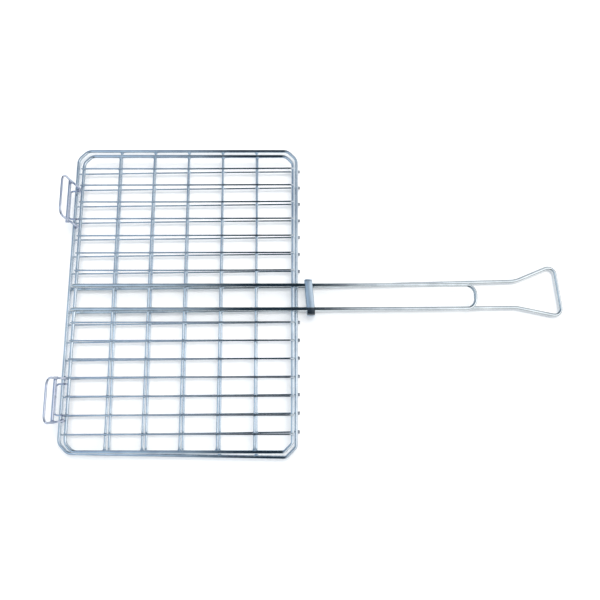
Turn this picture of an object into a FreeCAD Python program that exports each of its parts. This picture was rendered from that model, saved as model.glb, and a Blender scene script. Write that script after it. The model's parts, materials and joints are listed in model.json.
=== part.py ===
"""Grill basket: a double wire grid for cooking over coals, hinged at one end.

Frame: +Z up, +X from the hinge end to the handles, Y across the basket.
The origin is on the floor, below the middle of the whole object's box.
The base grid lies on its handle legs and the lid grid lies above it, closed.
Both grids are laid up alike: thin long wires and the two handle legs on the
outer face, a ring of frame wire next, and cross wires on the inner face.
"""

import FreeCAD
import Part
import Sketcher
import math
import os
import re

doc = FreeCAD.newDocument("grill_basket")
XY = "XY_Plane"
YZ = "YZ_Plane"

# Driving dimensions, in millimetres and degrees.
DIMENSIONS = {
    # place of the basket's middle along X
    "basket_middle": -169.6,
    # wire diameters
    "frame_wire": 4.5,
    "cross_wire": 3.0,
    "long_wire": 2.2,
    "handle_wire": 5.0,
    "loop_wire": 2.8,
    "rung_wire": 4.0,
    "tab_wire": 2.5,
    # how deep a spot weld presses one wire into the next
    "weld_sink": 0.05,
    # base grid, wire centre to wire centre; taper is how far the near side
    # comes in at the hinge end
    "base_length": 293.2,
    "base_width": 400.0,
    "base_corner": 12.2,
    "base_taper": 4.6,
    "base_skew": 0.7,
    "base_cross_shift": 4.2,
    "base_wire_overhang": 2.4,
    # lid grid, wire centre to wire centre
    "lid_length": 277.2,
    "lid_width": 381.2,
    "lid_corner": 10.0,
    "lid_shift": 3.5,
    "lid_side_shift": -1.9,
    "lid_rise": 8.8,
    "lid_skew": 0.15,
    "lid_cross_shift": 0.8,
    # the corners and wires of both grids; the near front corner is bent tighter
    "corner_bend": 12.5,
    "tight_bend": 7.0,
    "cross_pitch": 45.5,
    "long_pitch": 22.9,
    "long_inner": 33.6,
    "long_side_shift": -0.6,
    # handles, from the basket's middle
    "handle_gap": 30.6,
    "handle_offset": -2.4,
    "lid_handle_reach": 373.7,
    "lid_handle_bend": 12.5,
    "lid_handle_skew": 0.1,
    "splay_reach": 157.0,
    "splay_bend": 150.0,
    "neck_reach": 431.7,
    "neck_gap": 34.5,
    "neck_offset": 4.4,
    "flare_far_reach": 484.0,
    "flare_far_side": 43.3,
    "flare_near_reach": 490.4,
    "flare_near_side": -25.4,
    "flare_bend": 9.0,
    "neck_bend": 40.0,
    # hinge loops on the base and the tabs of the lid that pass through them
    "hinge_far": 120.8,
    "hinge_near": -130.0,
    "loop_width": 52.5,
    "loop_height": 52.0,
    "loop_bend": 9.5,
    "loop_foot": 1.5,
    "rung_height": 23.0,
    "rung_overhang": 0.5,
    "tab_width": 38.0,
    "tab_reach": 15.8,
    "tab_bend": 4.0,
    # sliding clip
    "clip_place": 163.7,
    "clip_length": 9.6,
    "clip_width": 43.5,
    "clip_offset": -1.6,
    "clip_play": 0.4,
    "clip_bend": 3.5,
    "clip_strip": 1.2,
}

# Heights and places worked out from the driving dimensions, as sheet formulas.
FORMULAS = {
    # base grid, from the floor up
    "base_handle_level": "clip_strip + clip_play + handle_wire / 2",
    "base_frame_level": "base_handle_level + (handle_wire + frame_wire) / 2 - weld_sink",
    "base_long_level": "base_frame_level - (frame_wire + long_wire) / 2 + weld_sink",
    "base_cross_level": "base_long_level + (long_wire + cross_wire) / 2 - weld_sink",
    # lid grid, the same order turned over
    "lid_frame_level": "base_frame_level + lid_rise",
    "lid_long_level": "lid_frame_level + (frame_wire + long_wire) / 2 - weld_sink",
    "lid_cross_level": "lid_long_level - (long_wire + cross_wire) / 2 + weld_sink",
    "lid_handle_level": "lid_frame_level + (frame_wire + handle_wire) / 2 - weld_sink",
    # ends of the two frames along X
    "base_hinge_end": "basket_middle - base_length / 2",
    "base_front_end": "basket_middle + base_length / 2",
    "lid_middle": "basket_middle + lid_shift",
    "lid_hinge_end": "lid_middle - lid_length / 2",
    "lid_front_end": "lid_middle + lid_length / 2",
    # hinge loops stand against the inner side of the base frame's hinge end
    "loop_plane": "base_hinge_end + (frame_wire + loop_wire) / 2 - weld_sink",
    # sliding clip, inside height round both pairs of legs
    "clip_height": "lid_handle_level - base_handle_level + handle_wire + 2 * clip_play",
}

sheet = doc.addObject("Spreadsheet::Sheet", "sizes")
for row, (alias, value) in enumerate(DIMENSIONS.items(), start=1):
    sheet.set(f"A{row}", alias)
    sheet.set(f"B{row}", str(value))
    sheet.setAlias(f"B{row}", alias)
for row, (alias, formula) in enumerate(FORMULAS.items(), start=len(DIMENSIONS) + 1):
    sheet.set(f"A{row}", alias)
    sheet.setAlias(f"B{row}", alias)
    sheet.set(f"B{row}", "=" + formula)
doc.recompute()

CELLS = {alias: "sizes." + alias for alias in [*DIMENSIONS, *FORMULAS]}
LONG_WIRES_A_SIDE = 7
CROSS_WIRES = 5
CORNER_TURN = 45
subparts = []


def in_sheet(formula):
    """A formula in the sheet's aliases, rewritten for use outside the sheet."""
    return re.sub(r"[a-z_]+", lambda word: CELLS.get(word[0], word[0]), formula)


def number(formula):
    """The value of such a formula now."""
    return float(sheet.evalExpression(in_sheet(formula)))


def bind(item, place, formula):
    item.setExpression(place, in_sheet(formula))


def straight_wire(name, diameter, length, start, heading):
    """A cropped straight wire, level: start is its first end, as formulas.

    heading is the formula for its direction in plan, in degrees from +X.
    """
    wire = doc.addObject("Part::Cylinder", name)
    wire.Label = name
    bind(wire, "Radius", f"{diameter} / 2")
    bind(wire, "Height", length)
    flat = FreeCAD.Rotation(FreeCAD.Vector(0, 1, 0), 90)
    turn = FreeCAD.Rotation(FreeCAD.Vector(0, 0, 1), number(heading))
    wire.Placement = FreeCAD.Placement(FreeCAD.Vector(0, 0, 0), turn.multiply(flat))
    for axis, formula in zip("xyz", start):
        bind(wire, f"Placement.Base.{axis}", formula)
    subparts.append(wire)


def origin_plane(body, role):
    return next(o for o in body.Origin.OriginFeatures if o.Role == role)


def sketch_on(body, name, role):
    sketch = body.newObject("Sketcher::SketchObject", name)
    sketch.AttachmentSupport = [(origin_plane(body, role), "")]
    sketch.MapMode = "FlatFace"
    return sketch


def fix_point(sketch, geometry, vertex, point):
    """Hold one point of a sketch at two formulas."""
    for kind, formula in zip(("DistanceX", "DistanceY"), point):
        value = number(formula)
        index = sketch.addConstraint(Sketcher.Constraint(kind, -1, 1, geometry, vertex, value))
        bind(sketch, f"Constraints[{index}]", formula)


def rounded_path(sketch, points, bends, closed):
    """Straight runs through the points, joined by tangent arcs of the given radii.

    points are pairs of formulas; bends has one radius formula for each turn.
    """
    spots = [FreeCAD.Vector(number(u), number(v), 0) for u, v in points]
    count = len(spots)
    turns = range(count) if closed else range(1, count - 1)
    arcs = {}
    trims = {}
    left_turns = {}
    for turn, bend in zip(turns, bends):
        spot = spots[turn]
        back = (spots[turn - 1] - spot).normalize()
        ahead = (spots[(turn + 1) % count] - spot).normalize()
        radius = number(bend)
        half = back.getAngle(ahead) / 2
        run = radius / math.tan(half)
        middle = spot + (back + ahead).normalize() * (radius / math.sin(half))
        trims[turn] = (spot + back * run, spot + ahead * run)
        left_turns[turn] = ahead.cross(back).z > 0
        first, last = trims[turn] if left_turns[turn] else reversed(trims[turn])
        angles = [math.atan2(point.y - middle.y, point.x - middle.x) for point in (first, last)]
        circle = Part.Circle(middle, FreeCAD.Vector(0, 0, 1), radius)
        arcs[turn] = Part.ArcOfCircle(circle, angles[0], angles[1])
    runs = count if closed else count - 1
    lines = []
    for run in range(runs):
        after = (run + 1) % count
        start = trims[run][1] if run in trims else spots[run]
        end = trims[after][0] if after in trims else spots[after]
        lines.append(sketch.addGeometry(Part.LineSegment(start, end), False))
    for turn, bend in zip(turns, bends):
        arc = sketch.addGeometry(arcs[turn], False)
        before = lines[turn - 1]
        after = lines[turn % runs]
        first, last = (1, 2) if left_turns[turn] else (2, 1)
        sketch.addConstraint(Sketcher.Constraint("Tangent", before, 2, arc, first))
        sketch.addConstraint(Sketcher.Constraint("Tangent", arc, last, after, 1))
        index = sketch.addConstraint(Sketcher.Constraint("Radius", arc, number(bend)))
        bind(sketch, f"Constraints[{index}]", bend)
        corner = sketch.addGeometry(Part.Point(spots[turn]), True)
        sketch.addConstraint(Sketcher.Constraint("PointOnObject", corner, 1, before))
        sketch.addConstraint(Sketcher.Constraint("PointOnObject", corner, 1, after))
        fix_point(sketch, corner, 1, points[turn])
    if not closed:
        fix_point(sketch, lines[0], 1, points[0])
        fix_point(sketch, lines[-1], 2, points[-1])


def sketch_circle(section, diameter, start):
    """A round section; start is its centre in the sketch and its offset, as formulas."""
    centre_u, centre_v, offset = start
    bind(section, "AttachmentOffset.Base.z", offset)
    middle = FreeCAD.Vector(number(centre_u), number(centre_v), 0)
    radius = number(f"{diameter} / 2")
    circle = section.addGeometry(Part.Circle(middle, FreeCAD.Vector(0, 0, 1), radius), False)
    index = section.addConstraint(Sketcher.Constraint("Radius", circle, radius))
    bind(section, f"Constraints[{index}]", f"{diameter} / 2")
    fix_point(section, circle, 3, (centre_u, centre_v))


def bent_wire(name, diameter, points, bends, level, start, closed=False, plane=XY):
    """A wire bent along a flat path, as a pipe of round section.

    The path lies on the XY plane, or on the YZ plane for an upright wire, and
    level is how far the wire's plane stands from that origin plane. The path
    starts along the normal of the section's plane, which start places.
    """
    body = doc.addObject("PartDesign::Body", name)
    body.Label = name
    path = sketch_on(body, name + "_path", plane)
    rounded_path(path, points, bends, closed)
    section = sketch_on(body, name + "_section", YZ if plane == XY else XY)
    sketch_circle(section, diameter, start)
    pipe = body.newObject("PartDesign::AdditivePipe", name + "_pipe")
    pipe.Profile = section
    pipe.Spine = (path, [])
    pipe.Mode = "Standard"
    pipe.Transition = "Transformed"
    body.Tip = pipe
    bind(body, "Placement.Base.z" if plane == XY else "Placement.Base.x", level)
    subparts.append(body)


def frame_ring(name, middle, side, length, width, corner, taper, level):
    """The closed ring of thick wire round one grid, a rectangle with cut corners.

    The ring's near side comes in by the taper at the hinge end.
    """
    bends = ["corner_bend"] * 5 + ["tight_bend"] * 2 + ["corner_bend"]
    left = f"{middle} - {length} / 2"
    right = f"{middle} + {length} / 2"
    far = f"{side} + {width} / 2"
    near = f"{side} - {width} / 2"
    near_left = f"{near} + {taper}"
    points = [
        (f"{right} - {corner}", far), (f"{left} + {corner}", far),
        (left, f"{far} - {corner}"), (left, f"{near_left} + {corner}"),
        (f"{left} + {corner}", near_left), (f"{right} - {corner}", near),
        (right, f"{near} + {corner}"), (right, f"{far} - {corner}"),
    ]
    start = (far, "0", f"{right} - {corner} - corner_bend * tan({CORNER_TURN} / 2)")
    bent_wire(name, "frame_wire", points, bends, level, start, closed=True)


def long_wires(grid, middle, first, last, level, skew):
    """Thin wires along X, in two groups either side of the handle, all at one skew."""
    number_of = 0
    for side in (1, -1):
        for step in range(LONG_WIRES_A_SIDE):
            number_of += 1
            across = f"long_side_shift + {side} * (long_inner + {step} * long_pitch)"
            start = (first, f"{across} + ({first} - {middle}) * tan({skew})", level)
            straight_wire(f"{grid}_long_wire_{number_of:02d}", "long_wire",
                          f"({last} - ({first})) / cos({skew})", start, skew)


def cross_wires(grid, middle, shift, side, length, width, taper, level, skew):
    """Wires along Y that butt against the frame's two long sides, at the mesh's skew."""
    reach = f"(({width} - frame_wire) / 2 + weld_sink)"
    for step in range(CROSS_WIRES):
        place = f"({shift} + {step - (CROSS_WIRES - 1) // 2} * cross_pitch)"
        near_reach = f"({reach} - {taper} * (1 / 2 - {place} / {length}))"
        start = (f"{middle} + {place} + {near_reach} * tan({skew})", f"{side} - {near_reach}", level)
        straight_wire(f"{grid}_cross_wire_{step + 1}", "cross_wire",
                      f"({reach} + {near_reach}) / cos({skew})", start, f"90 + {skew}")


def base_grid():
    frame_ring("base_frame", "basket_middle", "0", "base_length", "base_width",
               "base_corner", "base_taper", "base_frame_level")
    cross_wires("base", "basket_middle", "base_cross_shift", "0", "base_length", "base_width",
                "base_taper", "base_cross_level", "base_skew")
    long_wires("base", "basket_middle", "base_hinge_end - frame_wire / 2",
               "base_front_end + frame_wire / 2 + base_wire_overhang",
               "base_long_level", "base_skew")


def lid_grid():
    frame_ring("lid_frame", "lid_middle", "lid_side_shift", "lid_length", "lid_width",
               "lid_corner", "0", "lid_frame_level")
    cross_wires("lid", "lid_middle", "lid_cross_shift", "lid_side_shift", "lid_length", "lid_width",
                "0", "lid_cross_level", "lid_skew")
    long_wires("lid", "lid_middle", "lid_hinge_end - frame_wire / 2",
               "lid_front_end + frame_wire / 2", "lid_long_level", "lid_skew")


def base_handle():
    """One long wire: two legs under the base, a slight splay and a flared grip."""
    tail = "base_hinge_end - frame_wire / 2"
    tail_offset = "handle_offset - (base_length + frame_wire) / 2 * tan(base_skew)"
    splay = "basket_middle + splay_reach"
    splay_offset = "handle_offset + splay_reach * tan(base_skew)"
    neck = "basket_middle + neck_reach"
    stations = [
        (tail, tail_offset, "handle_gap"),
        (splay, splay_offset, "handle_gap"),
        (neck, "neck_offset", "neck_gap"),
    ]
    far_leg = [(along, f"{offset} + {gap} / 2") for along, offset, gap in stations]
    near_leg = [(along, f"{offset} - {gap} / 2") for along, offset, gap in reversed(stations)]
    grip = [
        ("basket_middle + flare_far_reach", "flare_far_side"),
        ("basket_middle + flare_near_reach", "flare_near_side"),
    ]
    bends = ["splay_bend", "neck_bend", "flare_bend", "flare_bend", "neck_bend", "splay_bend"]
    start = (far_leg[0][1], "0", tail)
    bent_wire("base_handle", "handle_wire", far_leg + grip + near_leg, bends,
              "base_handle_level", start)


def lid_handle():
    """One shorter wire over the lid, bent back on itself in a square-shouldered U."""
    tail = "lid_hinge_end - frame_wire / 2"
    tip = "basket_middle + lid_handle_reach"
    tail_offset = "handle_offset - lid_length / 2 * tan(lid_handle_skew)"
    tip_offset = "handle_offset + lid_handle_reach * tan(lid_handle_skew)"
    far_leg = [(tail, f"{tail_offset} + handle_gap / 2"), (tip, f"{tip_offset} + handle_gap / 2")]
    near_leg = [(tip, f"{tip_offset} - handle_gap / 2"), (tail, f"{tail_offset} - handle_gap / 2")]
    points = far_leg + near_leg
    bends = ["lid_handle_bend", "lid_handle_bend"]
    start = (far_leg[0][1], "0", tail)
    bent_wire("lid_handle", "handle_wire", points, bends, "lid_handle_level", start)


def hinge_loop(side, centre):
    """An upright loop on the base with a rung across its outer side, which makes two windows."""
    foot = "base_frame_level - loop_foot"
    top = "base_frame_level + loop_height"
    far = f"{centre} + loop_width / 2"
    near = f"{centre} - loop_width / 2"
    points = [(far, foot), (far, top), (near, top), (near, foot)]
    start = ("0", far, foot)
    bent_wire(f"hinge_loop_{side}", "loop_wire", points, ["loop_bend", "loop_bend"],
              "loop_plane", start, plane=YZ)
    rung_half = "(loop_width / 2 + loop_wire / 2 + rung_overhang)"
    rung_start = ("loop_plane - (loop_wire + rung_wire) / 2 + weld_sink",
                  f"{centre} - {rung_half}", "base_frame_level + rung_height")
    straight_wire(f"hinge_rung_{side}", "rung_wire", f"2 * {rung_half}", rung_start, "90")


def hinge_tab(side, centre):
    """A U of wire butted to the lid frame, out through the loop's lower window."""
    root = "lid_hinge_end - frame_wire / 2 + weld_sink"
    tip = "lid_hinge_end - tab_reach"
    far = f"{centre} + tab_width / 2"
    near = f"{centre} - tab_width / 2"
    points = [(root, far), (tip, far), (tip, near), (root, near)]
    start = (far, "0", root)
    bent_wire(f"hinge_tab_{side}", "tab_wire", points, ["tab_bend", "tab_bend"],
              "lid_frame_level", start)


def handle_clip():
    """A strip folded into a flat ring, which slides along both handles to lock them."""
    name = "handle_clip"
    body = doc.addObject("PartDesign::Body", name)
    body.Label = name
    section = sketch_on(body, name + "_section", YZ)
    for grow, bend in (("0", "clip_bend"), ("clip_strip", "clip_bend + clip_strip")):
        far = f"clip_offset + clip_width / 2 + {grow}"
        near = f"clip_offset - clip_width / 2 - {grow}"
        low = f"clip_strip - {grow}"
        high = f"clip_strip + clip_height + {grow}"
        rounded_path(section, [(near, low), (far, low), (far, high), (near, high)], [bend] * 4, True)
    pad = body.newObject("PartDesign::Pad", name + "_pad")
    pad.Profile = section
    bind(pad, "Length", "clip_length")
    pad.Midplane = True
    body.Tip = pad
    bind(body, "Placement.Base.x", "basket_middle + clip_place")
    subparts.append(body)


base_grid()
base_handle()
hinge_loop("far", "hinge_far")
hinge_loop("near", "hinge_near")
lid_grid()
lid_handle()
hinge_tab("far", "hinge_far")
hinge_tab("near", "hinge_near")
handle_clip()
doc.recompute()

for item in doc.Objects:
    if "Invalid" in item.State or "Error" in item.State:
        raise RuntimeError(f"{item.Label} failed: {item.State}")
for item in subparts:
    if item.Shape.isNull() or not item.Shape.isValid() or len(item.Shape.Solids) != 1:
        raise RuntimeError(f"{item.Label} has no valid solid")

os.makedirs("parts", exist_ok=True)
for item in subparts:
    item.Shape.exportStep(f"parts/{item.Label}.step")

whole = Part.makeCompound([item.Shape for item in subparts]).BoundBox
print(f"{len(subparts)} sub-parts, box {whole.XMin:.2f} {whole.YMin:.2f} {whole.ZMin:.2f}"
      f" to {whole.XMax:.2f} {whole.YMax:.2f} {whole.ZMax:.2f}")
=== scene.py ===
"""The looks of the grill basket, built round its CAD frame.

Every wire is drawn again as a fine tube: cropped ends have a bevel, bends flatten a
little, and the grids' straight wires have the slight bow that welding leaves. The clip
is drawn again as a crowned strip, folded until its ends almost meet. Weld metal and
the squashed ends of the base's long wires are added. Lengths are in metres, and MM
turns millimetres into metres.
"""

import json
import math
import random

import bmesh
import bpy
from mathutils import Matrix, Vector, noise


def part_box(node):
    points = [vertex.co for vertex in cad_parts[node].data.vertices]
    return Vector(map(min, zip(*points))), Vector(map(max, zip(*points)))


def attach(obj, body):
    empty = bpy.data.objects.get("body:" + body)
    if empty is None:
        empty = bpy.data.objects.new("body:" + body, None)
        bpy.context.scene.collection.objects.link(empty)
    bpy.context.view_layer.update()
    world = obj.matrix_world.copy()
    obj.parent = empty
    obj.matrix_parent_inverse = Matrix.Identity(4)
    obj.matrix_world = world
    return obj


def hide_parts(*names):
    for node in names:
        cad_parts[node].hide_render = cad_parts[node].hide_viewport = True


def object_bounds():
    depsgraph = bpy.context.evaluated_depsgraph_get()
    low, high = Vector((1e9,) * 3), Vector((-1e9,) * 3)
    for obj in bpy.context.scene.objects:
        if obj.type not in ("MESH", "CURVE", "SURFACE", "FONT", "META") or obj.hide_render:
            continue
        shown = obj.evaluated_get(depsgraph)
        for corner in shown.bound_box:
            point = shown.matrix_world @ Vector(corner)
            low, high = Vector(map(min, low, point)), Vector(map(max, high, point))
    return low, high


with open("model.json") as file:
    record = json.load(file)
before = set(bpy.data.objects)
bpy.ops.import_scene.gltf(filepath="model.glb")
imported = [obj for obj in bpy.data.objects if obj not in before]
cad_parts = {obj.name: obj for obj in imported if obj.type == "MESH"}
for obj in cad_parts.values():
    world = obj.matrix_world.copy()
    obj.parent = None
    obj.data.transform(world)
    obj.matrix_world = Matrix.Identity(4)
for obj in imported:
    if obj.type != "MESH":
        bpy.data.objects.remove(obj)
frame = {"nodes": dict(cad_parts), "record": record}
cad_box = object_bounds()

MM = 0.001
AHEAD = Vector((1, 0, 0))
UP = Vector((0, 0, 1))
WIRES_A_GRID = 14
CROSS_WIRES = 5

# Bent wires: what their boxes in the frame don't give.
BASE_CORNER = 12.2 * MM
BASE_TAPER = 4.6 * MM
LID_CORNER = 10 * MM
CORNER_BEND = 12.5 * MM
TIGHT_BEND = 7 * MM
HANDLE_GAP = 30.6 * MM
HANDLE_OFFSET = -2.4 * MM
BASE_SKEW = math.radians(0.7)
LID_HANDLE_BEND = 12.5 * MM
LOOP_BEND = 9.5 * MM
TAB_BEND = 4 * MM

# The long handle's splay, neck and grip. A reach is counted from the basket's middle,
# and a corner of the flare is (reach, sideways).
SPLAY_REACH = 157 * MM
SPLAY_BEND = 150 * MM
NECK_REACH = 431.7 * MM
NECK_GAP = 34.5 * MM
NECK_OFFSET = 4.4 * MM
NECK_BEND = 40 * MM
FLARE_FAR = (484 * MM, 43.3 * MM)
FLARE_NEAR = (490.4 * MM, -25.4 * MM)
FLARE_BEND = 9 * MM

# The clip: its strip, its seam, and the stretch with painted shade where its near bend and wall
# lie in shadow, counted from the seam round.
CLIP_STRIP = 1.2 * MM
CLIP_BEND = 3.5 * MM
CLIP_SEAM = 0.5 * MM
CLIP_LEAN = math.radians(5)
CLIP_CROWN = 0.85 * MM
CROWN_STEPS = 12
CLIP_PAINTED_SHADE = (81.5 * MM, 99 * MM)

# How the wire is worked.
STATION = 6 * MM
SAME_PLACE = 0.03 * MM
BEND_STEPS = 10
ROUND_SIDES = 20
BEND_FLATTENING = 0.16
CROP_BEVEL = 0.3 * MM
BOW = 0.45 * MM
UV_LENGTH = 10 * MM

# Weld metal and squashed ends: half sizes, and ranges that the dice choose from. A
# spot weld spreads WELD_SPREAD times its thinner wire's radius, and a little extra.
WELD_SPREAD = 1.1
WELD_EXTRA = (0.5 * MM, 0.9 * MM)
WELD_STRETCH = (0.95, 1.2)
WELD_HEIGHT = 0.75 * MM
FOOT_WELD = Vector((2.6, 3.2, 3.3)) * MM
RUNG_WELD = Vector((1.9, 2.2, 2.2)) * MM
END_SIZE = Vector((1.5, 2.3, 1.3)) * MM
END_SINK = 0.8

# The lumps of weld metal: LUMP_SHUFFLE gives each drop its own stretch of noise.
LUMP_DEPTH = 0.12
LUMP_SCALE = 1.7
LUMP_SHUFFLE = 900

# A collar's stations: millimetres in from the wire's tip, and millimetres of swelling.
COLLAR = [(-0.6, 0.9), (0.2, 0.75), (0.8, 0.35), (1.5, 0.12), (2.4, 0.0)]

# Plated steel. A bump has its strength and its depth. The painted shade is a near-black colour
# standing in for the shadow on the clip's near bend and wall; its ramp covers the first stretch
# of a strip, up to the ramp's end.
MOTTLE = {"Scale": 38.0, "Detail": 3.0, "Roughness": 0.6}
MOTTLE_SPAN = (0.36, 0.64)
ROUGHNESS_SPAN = (0.7, 1.4)
DRAWN = {"Scale": 1.0, "Detail": 4.0}
DRAWN_STRETCH = (0.35, 24, 1)
DRAWN_BUMP = (0.25, 0.05 * MM)
PITS = {"Scale": 900.0, "Detail": 2.0}
PITS_BUMP = (0.3, 0.08 * MM)
# The near-black painted shade on the clip's near bend and wall, and its soft edge.
PAINTED_SHADE_TINT = (0.05, 0.065, 0.08)
PAINTED_SHADE_EDGE = 1.5 * MM
PAINTED_SHADE_RAMP_END = 150 * MM

# Stage and light. A room's shades are (direction from -1 to 1, colour) along an axis.
FLOOR_SIZE = 3
FLOOR_PAINT = (0.9, 0.9, 0.9)
FLOOR_ROUGHNESS = 0.9
FLOOR_GLOW = 0.15
BACKDROP = (1, 1, 1)
WORLD_STRENGTH = 1.65
ROOM_ALONG = [
    (-1, (0.42, 0.50, 0.58)), (-0.34, (0.50, 0.60, 0.72)), (-0.2, (0.32, 0.38, 0.44)),
    (-0.12, (0.02, 0.035, 0.05)), (0.04, (0.02, 0.035, 0.05)), (0.15, (0.8, 0.82, 0.85)),
    (0.25, (1, 1, 1)), (1, (1, 1, 1)),
]
ROOM_ACROSS = [
    (-1, (0.6, 0.6, 0.6)), (-0.5, (0.7, 0.7, 0.7)), (-0.2, (0.95, 0.95, 0.95)),
    (0.12, (1, 1, 1)), (0.32, (0.55, 0.58, 0.62)), (0.6, (0.5, 0.53, 0.56)),
    (1, (0.5, 0.52, 0.55)),
]
ROOM_UP = [
    (0.0, (0.3, 0.3, 0.3)), (0.26, (0.12, 0.12, 0.12)), (0.42, (1, 1, 1)), (1, (1, 1, 1)),
]
LAMP_TINT = (1, 0.96, 0.9)
LAMP_WAY = (0.1, 0.4, 1)
LAMP_DISTANCE = 2.2
LAMP_SIZE = 1.3
LAMP_POWER = 34

# The camera: its place from the basket's middle, and its lens in millimetres.
CAMERA_FROM_BASKET = Vector((151.4, -115.8, 673.6)) * MM
CAMERA_TILT = math.radians(9.44)
CAMERA_LENS = 31.75
CAMERA_SENSOR = 36

dice = random.Random(7)


# --- Centre lines -----------------------------------------------------------------

def radius_of(name):
    """Half of the smallest side of a wire's box: every wire lies along a flat path."""
    lo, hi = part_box(name)
    return min(hi - lo) / 2


def box_middle(points):
    """The middle of the box round the points."""
    lo = Vector(min(p[axis] for p in points) for axis in range(3))
    hi = Vector(max(p[axis] for p in points) for axis in range(3))
    return (lo + hi) / 2


def ends_of(name):
    """The centres of the two end faces of a straight wire's CAD node."""
    lo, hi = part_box(name)
    axis = max(range(3), key=lambda a: hi[a] - lo[a])
    halfway = (lo[axis] + hi[axis]) / 2
    points = [vertex.co for vertex in frame["nodes"][name].data.vertices]
    return (box_middle([p for p in points if p[axis] < halfway]),
            box_middle([p for p in points if p[axis] > halfway]))


class Course:
    """A straight wire's centre line, with a slight sideways bow."""

    def __init__(self, start, end, radius, bow=0.0):
        self.start = start
        self.end = end
        self.radius = radius
        self.bow = bow
        self.side = (end - start).cross(UP).normalized()

    def at(self, share):
        bow = self.bow * math.sin(math.pi * share)
        return self.start.lerp(self.end, share) + self.side * bow

    def where(self, axis, value):
        """The point of the line at which one coordinate has about this value."""
        return self.at((value - self.start[axis]) / (self.end[axis] - self.start[axis]))

    def line(self):
        count = max(2, round((self.end - self.start).length / STATION))
        return [self.at(step / count) for step in range(count + 1)]


def rounded(points, bends, closed=False):
    """A flat outline through the points, each turn rounded to its bend's radius."""
    count = len(points)
    turns = range(count) if closed else range(1, count - 1)
    radii = dict(zip(turns, bends))
    line = []
    for index, point in enumerate(points):
        if index not in radii:
            line.append(point.copy())
            continue
        back = (points[index - 1] - point).normalized()
        ahead = (points[(index + 1) % count] - point).normalized()
        half = back.angle(ahead) / 2
        run = radii[index] / math.tan(half)
        centre = point + (back + ahead).normalized() * (radii[index] / math.sin(half))
        first = point + back * run - centre
        last = point + ahead * run - centre
        axis = first.cross(last).normalized()
        sweep = first.angle(last)
        for step in range(BEND_STEPS + 1):
            turn = Matrix.Rotation(sweep * step / BEND_STEPS, 3, axis)
            line.append(centre + turn @ first)
    return line


def frame_line(name, corner, taper):
    """The centre line of a grid's ring: a rectangle with cut corners.

    The ring's near side comes in by the taper at the hinge end, and its near front
    corner is bent tighter than the others.
    """
    radius = radius_of(name)
    lo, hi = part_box(name)
    left, near, level = lo.x + radius, lo.y + radius, lo.z + radius
    right, far = hi.x - radius, hi.y - radius
    points = [
        (left + corner, near + taper), (right - corner, near),
        (right, near + corner), (right, far - corner),
        (right - corner, far), (left + corner, far),
        (left, far - corner), (left, near + taper + corner),
    ]
    bends = [CORNER_BEND] + [TIGHT_BEND] * 2 + [CORNER_BEND] * 5
    return rounded([Vector((x, y, level)) for x, y in points], bends, closed=True)


def base_handle_points():
    """The corners of the long handle: two legs, a slight splay and a flared grip."""
    radius = radius_of("base_handle")
    lo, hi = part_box("base_handle")
    basket = box_middle(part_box("base_frame")).x
    level = lo.z + radius
    lean = math.tan(BASE_SKEW)
    stations = [
        (lo.x, HANDLE_OFFSET + (lo.x - basket) * lean, HANDLE_GAP),
        (basket + SPLAY_REACH, HANDLE_OFFSET + SPLAY_REACH * lean, HANDLE_GAP),
        (basket + NECK_REACH, NECK_OFFSET, NECK_GAP),
    ]
    far_leg = [Vector((x, offset + gap / 2, level)) for x, offset, gap in stations]
    near_leg = [Vector((x, offset - gap / 2, level)) for x, offset, gap in reversed(stations)]
    grip = [Vector((basket + reach, side, level)) for reach, side in (FLARE_FAR, FLARE_NEAR)]
    return far_leg + grip + near_leg


def lid_handle_points():
    """The corners of the short handle: two legs and the bend that joins them."""
    radius = radius_of("lid_handle")
    lo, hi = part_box("lid_handle")
    level = lo.z + radius
    tip = hi.x - radius
    far_tip = hi.y - radius
    near_tail = lo.y + radius
    return [
        Vector((lo.x, near_tail + HANDLE_GAP, level)), Vector((tip, far_tip, level)),
        Vector((tip, far_tip - HANDLE_GAP, level)), Vector((lo.x, near_tail, level)),
    ]


def hinge_loop_line(name):
    """An upright loop's centre line: up one leg, across and down the other."""
    radius = radius_of(name)
    lo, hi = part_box(name)
    plane = (lo.x + hi.x) / 2
    far, near, top = hi.y - radius, lo.y + radius, hi.z - radius
    corners = [(far, lo.z), (far, top), (near, top), (near, lo.z)]
    return rounded([Vector((plane, y, z)) for y, z in corners], [LOOP_BEND] * 2)


def hinge_tab_line(name):
    """A level tab's centre line: out through the loop, across and back."""
    radius = radius_of(name)
    lo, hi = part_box(name)
    level = (lo.z + hi.z) / 2
    far, near, tip = hi.y - radius, lo.y + radius, lo.x + radius
    corners = [(hi.x, far), (tip, far), (tip, near), (hi.x, near)]
    return rounded([Vector((x, y, level)) for x, y in corners], [TAB_BEND] * 2)


def clip_line():
    """The middle of the clip's strip, from one side of its seam round to the other."""
    lo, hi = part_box("handle_clip")
    half = CLIP_STRIP / 2
    middle = box_middle((lo, hi))
    near, far = lo.y + half, hi.y - half
    low, high = lo.z + half, hi.z - half
    seam = CLIP_SEAM / 2
    corners = [
        (middle.y + seam, low), (far, low), (far, high),
        (near, high), (near, low), (middle.y - seam, low),
    ]
    line = rounded([Vector((middle.x, y, z)) for y, z in corners], [CLIP_BEND + half] * 4)
    return [point + AHEAD * (middle.y - point.y) * math.tan(CLIP_LEAN) for point in line]


# --- Meshes -----------------------------------------------------------------------

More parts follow.
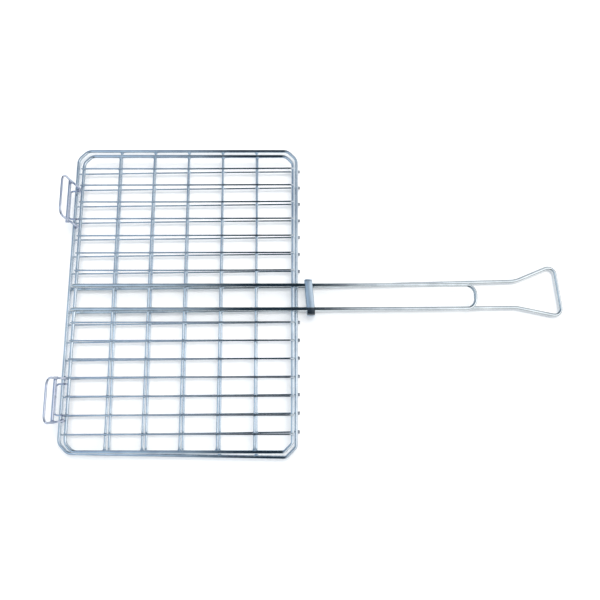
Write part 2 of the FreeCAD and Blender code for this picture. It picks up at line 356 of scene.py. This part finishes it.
class Skin:
    """Gathers the surfaces of one piece, then becomes one mesh object."""

    def __init__(self):
        self.points = []
        self.faces = []
        self.flat = set()
        self.places = []

    def face(self, corners, places, flat=False):
        if flat:
            self.flat.add(len(self.faces))
        self.faces.append(corners)
        self.places.extend(places)

    def sweep(self, line, section, up=UP, closed=False, scales=None):
        """A section of (side, up) offsets carried along a flat line.

        scales has a size for each station; an open sweep gets cropped, bevelled ends.
        """
        scales = list(scales or [1.0] * len(line))
        if not closed:
            line, scales = cropped(line, scales, section)
        count = len(line)
        reach = max(abs(side) for side, _ in section)
        first = len(self.points)
        along = [0.0]
        for index in range(count):
            before = line[index - 1] if closed or index else line[index]
            after = line[(index + 1) % count] if closed or index < count - 1 else line[index]
            side = (after - before).normalized().cross(up).normalized()
            pinch = 1 - BEND_FLATTENING * curvature(before, line[index], after) * reach
            for offset_side, offset_up in section:
                offset = side * (offset_side * pinch) + up * offset_up
                self.points.append(line[index] + offset * scales[index])
            along.append(along[-1] + (line[(index + 1) % count] - line[index]).length)
        self.tube(first, count, len(section), along, closed)

    def tube(self, first, count, sides, along, closed):
        """The faces of a sweep: round its sides, and over both ends of an open one."""
        rings = count if closed else count - 1
        for ring in range(rings):
            here = first + ring * sides
            there = first + (ring + 1) % count * sides
            start, end = along[ring] / UV_LENGTH, along[ring + 1] / UV_LENGTH
            for corner in range(sides):
                after = (corner + 1) % sides
                around, round_after = corner / sides, (corner + 1) / sides
                self.face((here + corner, here + after, there + after, there + corner),
                          [(start, around), (start, round_after),
                           (end, round_after), (end, around)])
        if not closed:
            last = first + (count - 1) * sides
            flat_places = [(0.0, 0.0)] * sides
            self.face(tuple(reversed(range(first, first + sides))), flat_places, flat=True)
            self.face(tuple(range(last, last + sides)), flat_places, flat=True)

    def blob(self, centre, half_sizes):
        """A lumpy flattened drop of metal, each with lumps of its own."""
        ball = bmesh.new()
        bmesh.ops.create_icosphere(ball, subdivisions=2, radius=1)
        first = len(self.points)
        for vertex in ball.verts:
            lump = noise.noise(vertex.co * LUMP_SCALE + centre * LUMP_SHUFFLE)
            stretched = Vector(a * b for a, b in zip(vertex.co, half_sizes))
            self.points.append(centre + stretched * (1 + LUMP_DEPTH * lump))
        for face in ball.faces:
            self.face(tuple(first + vertex.index for vertex in face.verts), [(0.0, 0.0)] * 3)
        ball.free()

    def piece(self, name, body, material, replaced=()):
        """The mesh object, riding on its body and the nodes it replaces."""
        mesh = bpy.data.meshes.new(name)
        mesh.from_pydata([tuple(p) for p in self.points], [], self.faces)
        layer = mesh.uv_layers.new(name="along")
        for loop, place in zip(layer.data, self.places):
            loop.uv = place
        for polygon in mesh.polygons:
            polygon.use_smooth = polygon.index not in self.flat
        mesh.materials.append(material)
        made = bpy.data.objects.new(name, mesh)
        bpy.context.scene.collection.objects.link(made)
        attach(made, body)
        if replaced:
            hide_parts(*replaced)


def curvature(before, here, after):
    """One over the bend's radius, from three stations of a line."""
    first, second = here - before, after - here
    if min(first.length, second.length) < SAME_PLACE:
        return 0.0
    return first.angle(second) * 2 / (first.length + second.length)


def spaced(line, closed=False):
    """The same line with stations added on its long runs."""
    ends = line[1:] + (line[:1] if closed else [])
    full = []
    for start, end in zip(line, ends):
        steps = max(1, round((end - start).length / STATION))
        full.extend(start.lerp(end, step / steps) for step in range(steps))
    return full if closed else full + [line[-1]]


def cropped(line, scales, section):
    """Adds the bevelled rim of a sheared end to both ends of a line."""
    size = max(abs(value) for offsets in section for value in offsets)
    rim = 1 - CROP_BEVEL / size
    start = line[0].lerp(line[1], CROP_BEVEL / (line[1] - line[0]).length)
    end = line[-1].lerp(line[-2], CROP_BEVEL / (line[-2] - line[-1]).length)
    line = [line[0], start, *line[1:-1], end, line[-1]]
    scales = [scales[0] * rim, scales[0], *scales[1:-1], scales[-1], scales[-1] * rim]
    return line, scales


def circle(radius):
    angles = [2 * math.pi * step / ROUND_SIDES for step in range(ROUND_SIDES)]
    return [(radius * math.cos(angle), radius * math.sin(angle)) for angle in angles]


# --- Materials --------------------------------------------------------------------

def node(tree, kind, **inputs):
    """A new shader node with these values on its sockets."""
    made = tree.nodes.new(kind)
    for name, value in inputs.items():
        made.inputs[name.replace("_", " ")].default_value = value
    return made


def plain(tree, colour):
    """One colour all over."""
    made = tree.nodes.new("ShaderNodeRGB")
    made.outputs["Color"].default_value = (*colour, 1)
    return made.outputs["Color"]


def ramp(tree, value, stops):
    """The colour at a value's place among (place, colour) stops from 0 to 1."""
    made = tree.nodes.new("ShaderNodeValToRGB")
    elements = made.color_ramp.elements
    while len(elements) < len(stops):
        elements.new(0.5)
    for element, (place, colour) in zip(elements, stops):
        element.position = place
        element.color = (*colour, 1)
    tree.links.new(value, made.inputs["Fac"])
    return made.outputs["Color"]


def mixed(tree, blend, first, second, factor=None):
    """The second colour blended over the first, by the factor or in full."""
    made = tree.nodes.new("ShaderNodeMix")
    made.data_type = "RGBA"
    made.blend_type = blend
    made.inputs["Factor"].default_value = 1
    if factor is not None:
        tree.links.new(factor, made.inputs["Factor"])
    tree.links.new(first, made.inputs["A"])
    tree.links.new(second, made.inputs["B"])
    return made.outputs["Result"]


def bumped(tree, height, strength, depth, under=None):
    """The surface's direction, roughened by a height on top of what lies under it."""
    made = node(tree, "ShaderNodeBump", Strength=strength, Distance=depth)
    tree.links.new(height, made.inputs["Height"])
    if under is not None:
        tree.links.new(under, made.inputs["Normal"])
    return made.outputs["Normal"]


def with_painted_shade(tree, uv, shade, shade_span):
    """The colour with painted shade: nearly black from the span's first to its last place along
    a strip, where it lies in shadow.
    """
    place = tree.nodes.new("ShaderNodeSeparateXYZ")
    tree.links.new(uv, place.inputs["Vector"])
    span = node(tree, "ShaderNodeMapRange", From_Max=PAINTED_SHADE_RAMP_END / UV_LENGTH)
    tree.links.new(place.outputs["X"], span.inputs["Value"])
    unshaded, shaded = (0, 0, 0), (1, 1, 1)
    # A mask of painted shade: 1 along the shadowed span, 0 elsewhere.
    stops = [(shade_span[0] - PAINTED_SHADE_EDGE, unshaded), (shade_span[0], shaded),
             (shade_span[1], shaded), (shade_span[1] + PAINTED_SHADE_EDGE, unshaded)]
    stops = [(along / PAINTED_SHADE_RAMP_END, grey) for along, grey in stops]
    shade_mask = ramp(tree, span.outputs["Result"], stops)
    return mixed(tree, "MIX", shade, plain(tree, PAINTED_SHADE_TINT), shade_mask)


def plated(name, pale, deep, roughness=0.09, grain=0.7, shade_span=None):
    """Bright plated steel: mottled colour and gloss, drawing lines, fine pits, and painted
    shade along a span if one is given.
    """
    material = bpy.data.materials.new(name)
    material.use_nodes = True
    tree = material.node_tree
    shader = tree.nodes["Principled BSDF"]
    shader.inputs["Metallic"].default_value = 1.0
    places = tree.nodes.new("ShaderNodeTexCoord").outputs

    mottle = node(tree, "ShaderNodeTexNoise", **MOTTLE)
    tree.links.new(places["Object"], mottle.inputs["Vector"])
    shade = ramp(tree, mottle.outputs["Fac"], list(zip(MOTTLE_SPAN, (deep, pale))))
    if shade_span:
        shade = with_painted_shade(tree, places["UV"], shade, shade_span)
    tree.links.new(shade, shader.inputs["Base Color"])

    glossiest, dullest = (roughness * share for share in ROUGHNESS_SPAN)
    gloss = node(tree, "ShaderNodeMapRange", To_Min=glossiest, To_Max=dullest)
    tree.links.new(mottle.outputs["Fac"], gloss.inputs["Value"])
    tree.links.new(gloss.outputs["Result"], shader.inputs["Roughness"])

    stretch = node(tree, "ShaderNodeMapping", Scale=DRAWN_STRETCH)
    tree.links.new(places["UV"], stretch.inputs["Vector"])
    lines = node(tree, "ShaderNodeTexNoise", **DRAWN)
    tree.links.new(stretch.outputs["Vector"], lines.inputs["Vector"])
    pits = node(tree, "ShaderNodeTexNoise", **PITS)
    tree.links.new(places["Object"], pits.inputs["Vector"])
    surface = None
    for texture, (strength, depth) in ((lines, DRAWN_BUMP), (pits, PITS_BUMP)):
        surface = bumped(tree, texture.outputs["Fac"], strength * grain, depth, surface)
    tree.links.new(surface, shader.inputs["Normal"])
    return material


FRAME_STEEL = plated("frame_steel", (0.66, 0.73, 0.79), (0.51, 0.58, 0.65))
HANDLE_STEEL = plated("handle_steel", (0.70, 0.75, 0.77), (0.54, 0.59, 0.62))
LONG_STEEL = plated("long_steel", (0.63, 0.69, 0.74), (0.49, 0.55, 0.62))
CROSS_STEEL = plated("cross_steel", (0.63, 0.71, 0.78), (0.48, 0.56, 0.64))
HINGE_STEEL = plated("hinge_steel", (0.62, 0.66, 0.76), (0.46, 0.50, 0.62))
# The clip's steel carries painted shade on its near bend and wall.
CLIP_STEEL = plated("clip_steel", (0.60, 0.71, 0.80), (0.46, 0.56, 0.66),
                    roughness=0.42, grain=1.2, shade_span=CLIP_PAINTED_SHADE)
END_STEEL = plated("end_steel", (0.30, 0.33, 0.37), (0.14, 0.16, 0.19), roughness=0.3)
WELD_STEEL = plated("weld_steel", (0.46, 0.57, 0.68), (0.30, 0.40, 0.50),
                    roughness=0.3, grain=2.0)


# --- The wires --------------------------------------------------------------------

def body_of(name):
    bodies = frame["record"]["behaviour"]["bodies"]
    return next(body for body, nodes in bodies.items() if name in nodes)


def wire(name, line, material, up=UP, closed=False):
    """One bent wire, drawn in place of its CAD node."""
    skin = Skin()
    skin.sweep(spaced(line, closed), circle(radius_of(name)), up=up, closed=closed)
    skin.piece("drawn_" + name, body_of(name), material, replaced=[name])


def straight(name, material, bow):
    """One straight wire, drawn in place of its CAD node, and its course."""
    course = Course(*ends_of(name), radius_of(name), bow)
    skin = Skin()
    skin.sweep(course.line(), circle(course.radius))
    skin.piece("drawn_" + name, body_of(name), material, replaced=[name])
    return course


def rails(name):
    """The hinge-end and front rails of a ring, as courses across the basket."""
    radius = radius_of(name)
    lo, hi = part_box(name)
    level = lo.z + radius
    return [Course(Vector((x, lo.y, level)), Vector((x, hi.y, level)), radius)
            for x in (lo.x + radius, hi.x - radius)]


def crossing(along, across):
    """The touching point of a wire that runs along the basket and one that crosses it.

    The two bowed lines are followed in turn until they agree on the place.
    """
    spot = across.at(0.5)
    for _ in range(3):
        spot = along.where(0, spot.x)
        spot.x = across.where(1, spot.y).x
    share = along.radius / (along.radius + across.radius)
    spot.z = along.start.z + (across.start.z - along.start.z) * share
    return spot


def spot_welds(grid, alongs, acrosses):
    """A drop of weld metal wherever a wire along the basket meets one across it."""
    skin = Skin()
    for along in alongs:
        for across in acrosses:
            thin = min(along.radius, across.radius)
            spread = thin * WELD_SPREAD + dice.uniform(*WELD_EXTRA)
            length = spread * dice.uniform(*WELD_STRETCH)
            skin.blob(crossing(along, across), (length, spread, WELD_HEIGHT))
    skin.piece(grid + "_spot_welds", grid, WELD_STEEL)


def wire_ends(alongs):
    """The squashed ends of the base's long wires, just past the front rail."""
    skin = Skin()
    for along in alongs:
        skin.blob(along.end - AHEAD * END_SIZE.x * END_SINK, END_SIZE)
    skin.piece("base_wire_ends", "base", END_STEEL)


def hinge_welds():
    """Weld metal where the hinge loops stand on the base's ring and hold their rungs."""
    skin = Skin()
    rail = box_middle(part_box("base_frame")).z
    for side in ("far", "near"):
        lo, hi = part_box("hinge_loop_" + side)
        radius = radius_of("hinge_loop_" + side)
        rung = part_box("hinge_rung_" + side)
        plane = (lo.x + hi.x) / 2 - radius
        for leg in (lo.y + radius, hi.y - radius):
            skin.blob(Vector((plane, leg, rail)), FOOT_WELD)
            skin.blob(Vector((plane, leg, box_middle(rung).z)), RUNG_WELD)
    skin.piece("hinge_welds", "base", HINGE_STEEL)


def butt_welds(grid, courses):
    """Collars of weld metal where wires end against the ring's long sides."""
    skin = Skin()
    for course in courses:
        for tip, inward in ((course.start, course.end), (course.end, course.start)):
            way = (inward - tip).normalized()
            line = [tip + way * (reach * MM) for reach, _ in COLLAR]
            scales = [1 + swell * MM / course.radius for _, swell in COLLAR]
            skin.sweep(line, circle(course.radius), scales=scales)
    skin.piece(grid + "_butt_welds", grid, WELD_STEEL)


def grid_wires(grid, handle_legs):
    """A grid's straight wires and their welds; its long wires' courses come back."""
    longs = []
    for number in range(1, WIRES_A_GRID + 1):
        name = f"{grid}_long_wire_{number:02d}"
        longs.append(straight(name, LONG_STEEL, dice.uniform(-BOW, BOW)))
    crosses = []
    for number in range(1, CROSS_WIRES + 1):
        name = f"{grid}_cross_wire_{number}"
        crosses.append(straight(name, CROSS_STEEL, dice.uniform(-BOW, BOW)))
    spot_welds(grid, longs + handle_legs, crosses + rails(grid + "_frame"))
    butt_welds(grid, crosses)
    return longs


def basket():
    """Both grids with their rings and handles, and the hinge between them."""
    base_points = base_handle_points()
    lid_points = lid_handle_points()
    base_ring = frame_line("base_frame", BASE_CORNER, BASE_TAPER)
    lid_ring = frame_line("lid_frame", LID_CORNER, 0)
    wire("base_frame", base_ring, FRAME_STEEL, closed=True)
    wire("lid_frame", lid_ring, FRAME_STEEL, closed=True)
    bends = [SPLAY_BEND, NECK_BEND, FLARE_BEND, FLARE_BEND, NECK_BEND, SPLAY_BEND]
    wire("base_handle", rounded(base_points, bends), HANDLE_STEEL)
    wire("lid_handle", rounded(lid_points, [LID_HANDLE_BEND] * 2), HANDLE_STEEL)
    for grid, points in (("base", base_points), ("lid", lid_points)):
        radius = radius_of(grid + "_handle")
        legs = [Course(points[0], points[1], radius), Course(points[-1], points[-2], radius)]
        longs = grid_wires(grid, legs)
        if grid == "base":
            wire_ends(longs)
    hinge_welds()
    for side in ("far", "near"):
        loop = f"hinge_loop_{side}"
        wire(loop, hinge_loop_line(loop), HINGE_STEEL, up=AHEAD)
        straight(f"hinge_rung_{side}", HINGE_STEEL, 0.0)
        tab = f"hinge_tab_{side}"
        wire(tab, hinge_tab_line(tab), HINGE_STEEL)


def clip():
    """A crowned strip folded round the handles, its ends almost meeting underneath."""
    lo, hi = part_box("handle_clip")
    half_width = (hi.x - lo.x) / 2
    half = CLIP_STRIP / 2
    outer = []
    for step in range(CROWN_STEPS + 1):
        across = -1 + 2 * step / CROWN_STEPS
        outer.append((half - CLIP_CROWN * across ** 2, across * half_width))
    inner = [(-half, half_width - CROP_BEVEL), (-half, CROP_BEVEL - half_width)]
    skin = Skin()
    skin.sweep(spaced(clip_line()), outer + inner, up=AHEAD)
    skin.piece("folded_clip", "clip", CLIP_STEEL, replaced=["handle_clip"])


# --- Stage, light and camera ------------------------------------------------------

def floor():
    """A pale floor with a faint glow, which looks white from above."""
    bpy.ops.mesh.primitive_plane_add(size=FLOOR_SIZE)
    ground = bpy.context.object
    ground.name = "floor"
    material = bpy.data.materials.new("floor_white")
    material.use_nodes = True
    shader = material.node_tree.nodes["Principled BSDF"]
    shader.inputs["Base Color"].default_value = (*FLOOR_PAINT, 1)
    shader.inputs["Roughness"].default_value = FLOOR_ROUGHNESS
    shader.inputs["Emission Color"].default_value = (1, 1, 1, 1)
    shader.inputs["Emission Strength"].default_value = FLOOR_GLOW
    ground.data.materials.append(material)


def studio():
    """The room that the wires reflect, while the camera itself sees plain white.

    It is white to the right, blue-grey to the left and nearly black between them. It
    is dimmer towards the near and far walls, and dark below its upper part.
    """
    world = bpy.data.worlds.new("studio")
    bpy.context.scene.world = world
    world.use_nodes = True
    tree = world.node_tree
    light = tree.nodes["Background"]
    parts = tree.nodes.new("ShaderNodeSeparateXYZ")
    directions = tree.nodes.new("ShaderNodeTexCoord").outputs["Generated"]
    tree.links.new(directions, parts.inputs["Vector"])
    shades = []
    for axis, stops in (("X", ROOM_ALONG), ("Y", ROOM_ACROSS), ("Z", ROOM_UP)):
        part = node(tree, "ShaderNodeMapRange", From_Min=-1)
        tree.links.new(parts.outputs[axis], part.inputs["Value"])
        stops = [((place + 1) / 2, tint) for place, tint in stops]
        shades.append(ramp(tree, part.outputs["Result"], stops))
    plan = mixed(tree, "MULTIPLY", shades[0], shades[1])
    room = mixed(tree, "MULTIPLY", plan, shades[2])
    seen = tree.nodes.new("ShaderNodeLightPath").outputs["Is Camera Ray"]
    tree.links.new(mixed(tree, "MIX", room, plain(tree, BACKDROP), seen), light.inputs["Color"])
    light.inputs["Strength"].default_value = WORLD_STRENGTH


def softbox():
    """A large area light over the basket, which the bright wires don't reflect."""
    lamp = bpy.data.lights.new("top_softbox", "AREA")
    lamp.size = LAMP_SIZE
    lamp.energy = LAMP_POWER
    lamp.color = LAMP_TINT
    made = bpy.data.objects.new("top_softbox", lamp)
    bpy.context.scene.collection.objects.link(made)
    way = Vector(LAMP_WAY).normalized()
    made.location = box_middle(cad_box) + way * LAMP_DISTANCE
    made.rotation_euler = way.to_track_quat("Z", "Y").to_euler()
    made.visible_glossy = False


def camera():
    """The camera looks down from above the front rail, tilted towards the far side."""
    made = bpy.data.objects.new("camera", bpy.data.cameras.new("camera"))
    bpy.context.scene.collection.objects.link(made)
    made.location = box_middle(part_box("base_frame")) + CAMERA_FROM_BASKET
    made.rotation_euler = (CAMERA_TILT, 0, 0)
    made.data.sensor_width = CAMERA_SENSOR
    made.data.lens = CAMERA_LENS
    bpy.context.scene.camera = made


basket()
clip()
floor()
studio()
softbox()
camera()
bpy.context.scene.view_settings.view_transform = "Standard"
